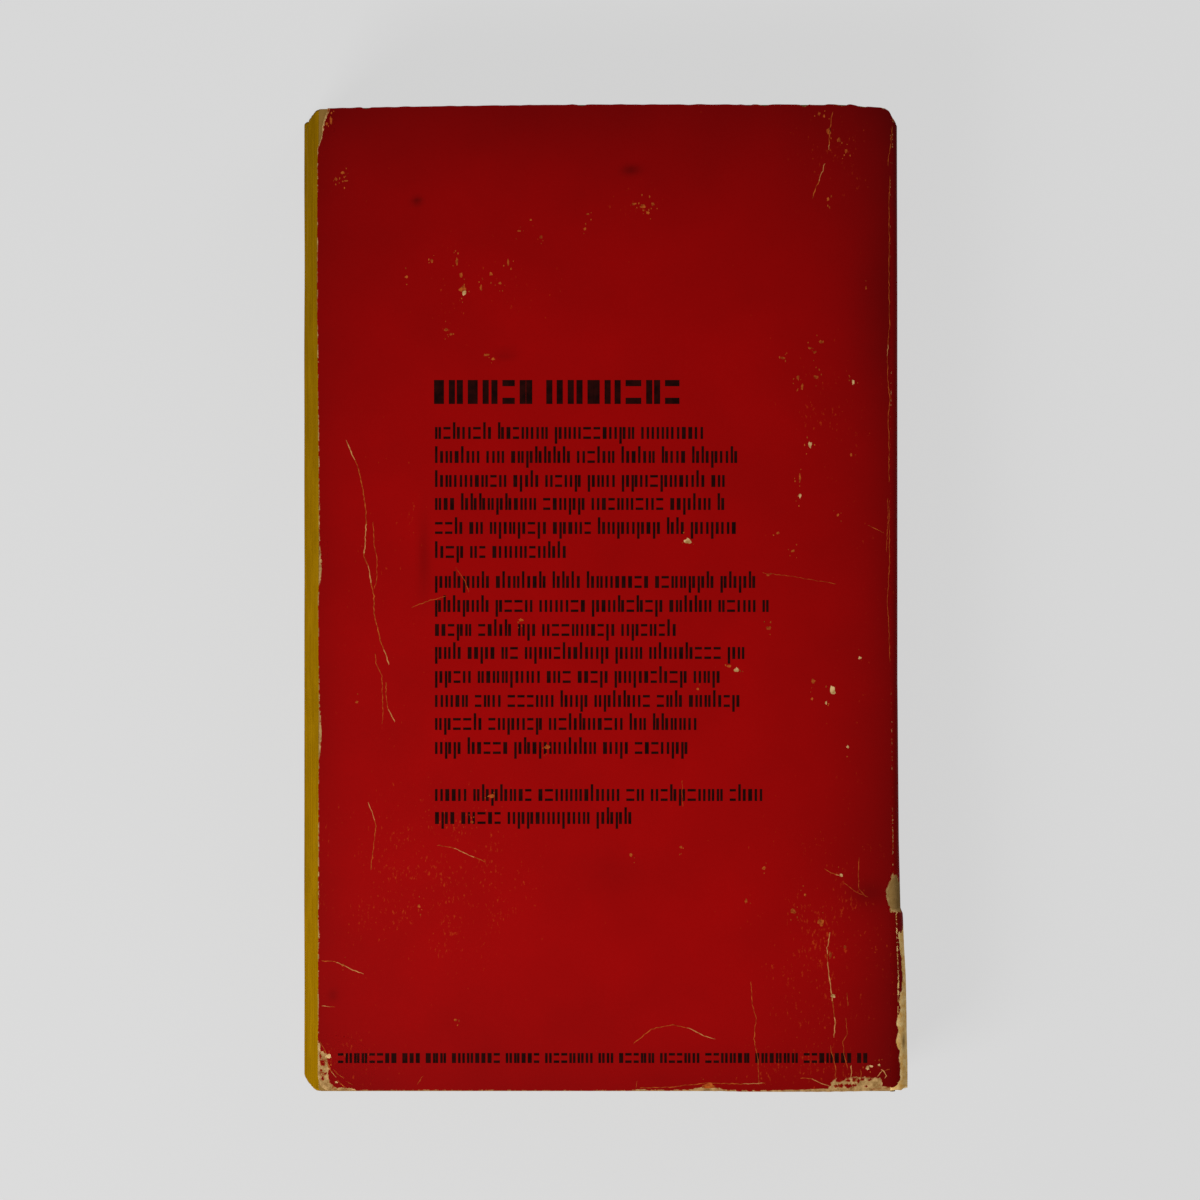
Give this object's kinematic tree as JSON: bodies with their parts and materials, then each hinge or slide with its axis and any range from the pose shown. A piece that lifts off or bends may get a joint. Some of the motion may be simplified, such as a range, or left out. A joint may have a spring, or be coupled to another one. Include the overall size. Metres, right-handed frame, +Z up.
{
  "type": "paperback book",
  "caption": "Worn mass-market paperback lying closed on its front cover, with a plain red card cover, yellowed page edges and covers that swing open at the spine.",
  "frame": {"origin": "centre of the box round the closed book, on the surface it lies on", "axes": "+X from the fore edge to the spine, +Y from the tail of the book to its head, +Z up out of the back cover"},
  "size_m": [0.1102, 0.178, 0.0246],
  "materials": {
    "cover_card": "semi-gloss print, scuffed",
    "page_paper": "matte, yellowed",
    "binding_glue": "matte, aged hot-melt glue"
  },
  "bodies": {
    "bound_pages": {"page_block": "page_paper", "spine_glue": "binding_glue", "spine_cover": "cover_card"},
    "back_board": {"back_cover": "cover_card"},
    "front_board": {"front_cover": "cover_card"}
  },
  "joints": [
    {"name": "back_cover_hinge", "type": "hinge", "parent": "bound_pages", "child": "back_board", "pos_m": [0.05195, 0, 0.0246], "axis": [0, 1, 0], "range_deg": [0, 180]},
    {"name": "front_cover_hinge", "type": "hinge", "parent": "bound_pages", "child": "front_board", "pos_m": [0.04835, 0, 0], "axis": [0, -1, 0], "range_deg": [0, 180]}
  ]
}
